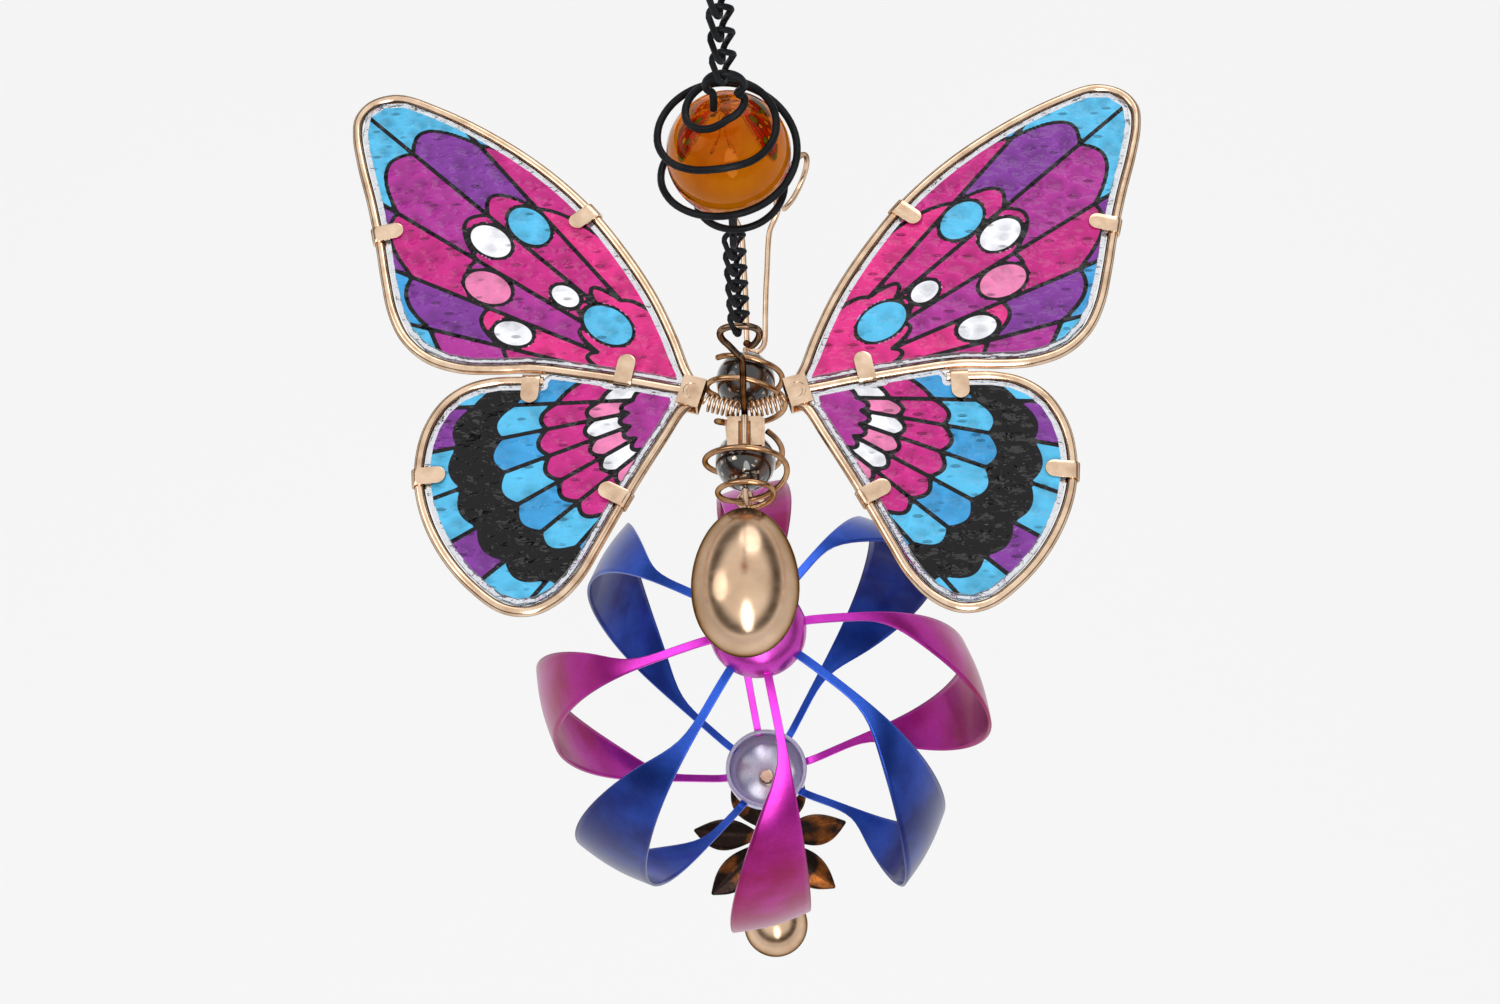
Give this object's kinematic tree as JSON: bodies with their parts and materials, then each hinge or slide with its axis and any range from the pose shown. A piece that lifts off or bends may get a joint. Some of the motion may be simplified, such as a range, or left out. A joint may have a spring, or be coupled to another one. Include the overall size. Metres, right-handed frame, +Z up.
{
  "type": "hanging wind spinner",
  "caption": "Hanging wind spinner: wire-framed butterfly on coil springs under a caged ball, over a globe of curved blades, a leaf flower and a ball.",
  "frame": {"origin": "where the top hook rests on its nail, the highest point inside the crook", "axes": "+Z up along the hanging line, +Y towards the butterfly's head, +X towards its right wing seen from above"},
  "size_m": [0.2048, 0.1713, 0.7282],
  "materials": {
    "black_wire": "satin black",
    "gold_wire": "polished, rose gold",
    "copper_wire": "polished, copper",
    "champagne_metal": "polished, champagne",
    "amber_glass": "clear amber",
    "dark_glass": "clear, smoky",
    "wing_pane": "clear, hammered, with a coloured design",
    "magenta_paint": "metallic magenta",
    "blue_paint": "metallic blue",
    "lilac_paint": "metallic lilac",
    "leaf_copper": "dark copper"
  },
  "bodies": {
    "hook": {"top_hook": "black_wire"},
    "top_1": {"top_link_1": "black_wire"},
    "top_2": {"top_link_2": "black_wire"},
    "top_3": {"top_link_3": "black_wire"},
    "top_4": {"top_link_4": "black_wire"},
    "top_5": {"top_link_5": "black_wire"},
    "cage": {"ball_cage": "black_wire", "amber_ball": "amber_glass"},
    "mid_1": {"mid_link_1": "black_wire"},
    "mid_2": {"mid_link_2": "black_wire"},
    "mid_3": {"mid_link_3": "black_wire"},
    "mid_4": {"mid_link_4": "black_wire"},
    "mid_5": {"mid_link_5": "black_wire"},
    "mid_6": {"mid_link_6": "black_wire"},
    "butterfly": {"hanger_rod": "gold_wire", "centre_clip": "gold_wire", "spring_left": "copper_wire", "spring_right": "copper_wire", "body_rod": "gold_wire", "head_bead": "dark_glass", "thorax_bead": "dark_glass", "abdomen_egg": "champagne_metal", "head_wire": "copper_wire", "thorax_wire": "copper_wire", "antennae": "gold_wire", "lower_rod": "gold_wire"},
    "wing_left": {"bracket_left": "gold_wire", "forewing_frame_left": "gold_wire", "hindwing_frame_left": "gold_wire", "forewing_panel_left": "wing_pane", "hindwing_panel_left": "wing_pane"},
    "wing_right": {"bracket_right": "gold_wire", "forewing_frame_right": "gold_wire", "hindwing_frame_right": "gold_wire", "forewing_panel_right": "wing_pane", "hindwing_panel_right": "wing_pane"},
    "swivel": {"swivel_barrel": "gold_wire"},
    "swivel_pin": {"swivel_eye": "gold_wire"},
    "spinner": {"spinner_stem": "gold_wire", "top_hub": "magenta_paint", "blade_1": "magenta_paint", "blade_2": "blue_paint", "blade_3": "magenta_paint", "blade_4": "blue_paint", "blade_5": "magenta_paint", "blade_6": "blue_paint", "blade_7": "magenta_paint", "blade_8": "blue_paint", "bottom_hub": "lilac_paint", "tail_eye": "gold_wire"},
    "flower": {"leaf_rod": "gold_wire", "leaf_flower": "leaf_copper", "leaf_boss": "leaf_copper"},
    "ball": {"ball_rod": "gold_wire", "bottom_ball": "champagne_metal"}
  },
  "joints": [
    {"name": "hook_to_top_1", "type": "hinge", "parent": "hook", "child": "top_1", "pos_m": [0, 0, -0.0202], "axis": [1, 0, 0], "range_deg": [-12, 12]},
    {"name": "top_1_to_top_2", "type": "hinge", "parent": "top_1", "child": "top_2", "pos_m": [0, 0, -0.0282], "axis": [0, 1, 0], "range_deg": [-12, 12]},
    {"name": "top_2_to_top_3", "type": "hinge", "parent": "top_2", "child": "top_3", "pos_m": [0, 0, -0.0332], "axis": [1, 0, 0], "range_deg": [-12, 12]},
    {"name": "top_3_to_top_4", "type": "hinge", "parent": "top_3", "child": "top_4", "pos_m": [0, 0, -0.0412], "axis": [0, 1, 0], "range_deg": [-12, 12]},
    {"name": "top_4_to_top_5", "type": "hinge", "parent": "top_4", "child": "top_5", "pos_m": [0, 0, -0.0462], "axis": [1, 0, 0], "range_deg": [-12, 12]},
    {"name": "top_5_to_cage", "type": "hinge", "parent": "top_5", "child": "cage", "pos_m": [0, 0, -0.0542], "axis": [0, 1, 0], "range_deg": [-12, 12]},
    {"name": "cage_to_mid_1", "type": "hinge", "parent": "cage", "child": "mid_1", "pos_m": [0, 0, -0.1073], "axis": [1, 0, 0], "range_deg": [-12, 12]},
    {"name": "mid_1_to_mid_2", "type": "hinge", "parent": "mid_1", "child": "mid_2", "pos_m": [0, 0, -0.1153], "axis": [0, 1, 0], "range_deg": [-12, 12]},
    {"name": "mid_2_to_mid_3", "type": "hinge", "parent": "mid_2", "child": "mid_3", "pos_m": [0, 0, -0.1203], "axis": [1, 0, 0], "range_deg": [-12, 12]},
    {"name": "mid_3_to_mid_4", "type": "hinge", "parent": "mid_3", "child": "mid_4", "pos_m": [0, 0, -0.1283], "axis": [0, 1, 0], "range_deg": [-12, 12]},
    {"name": "mid_4_to_mid_5", "type": "hinge", "parent": "mid_4", "child": "mid_5", "pos_m": [0, 0, -0.1333], "axis": [1, 0, 0], "range_deg": [-12, 12]},
    {"name": "mid_5_to_mid_6", "type": "hinge", "parent": "mid_5", "child": "mid_6", "pos_m": [0, 0, -0.1413], "axis": [0, 1, 0], "range_deg": [-12, 12]},
    {"name": "mid_6_to_butterfly", "type": "hinge", "parent": "mid_6", "child": "butterfly", "pos_m": [0, 0, -0.1461], "axis": [1, 0, 0], "range_deg": [-20, 20]},
    {"name": "wing_left_flap", "type": "hinge", "parent": "butterfly", "child": "wing_left", "pos_m": [-0.0057, 0.0025, -0.189], "axis": [0, 1, 0], "range_deg": [-15, 35], "stiffness_Nm_per_rad": 0.15, "springref_deg": 7.45, "deforming": ["spring_left"]},
    {"name": "wing_right_flap", "type": "hinge", "parent": "butterfly", "child": "wing_right", "pos_m": [0.0057, 0.0025, -0.189], "axis": [0, -1, 0], "range_deg": [-15, 35], "stiffness_Nm_per_rad": 0.15, "springref_deg": 7.45, "deforming": ["spring_right"]},
    {"name": "butterfly_to_swivel", "type": "hinge", "parent": "butterfly", "child": "swivel", "pos_m": [0, 0, -0.2411], "axis": [0, 1, 0], "range_deg": [-20, 20]},
    {"name": "swivel_spin", "type": "hinge", "parent": "swivel", "child": "swivel_pin", "pos_m": [0, 0, -0.2585], "axis": [0, 0, 1], "continuous": true},
    {"name": "swivel_to_spinner", "type": "hinge", "parent": "swivel_pin", "child": "spinner", "pos_m": [0, 0, -0.2677], "axis": [1, 0, 0], "range_deg": [-20, 20]},
    {"name": "spinner_to_flower", "type": "hinge", "parent": "spinner", "child": "flower", "pos_m": [0, 0, -0.4933], "axis": [0, 1, 0], "range_deg": [-25, 25]},
    {"name": "flower_to_ball", "type": "hinge", "parent": "flower", "child": "ball", "pos_m": [0, 0, -0.5767], "axis": [1, 0, 0], "range_deg": [-25, 25]}
  ]
}
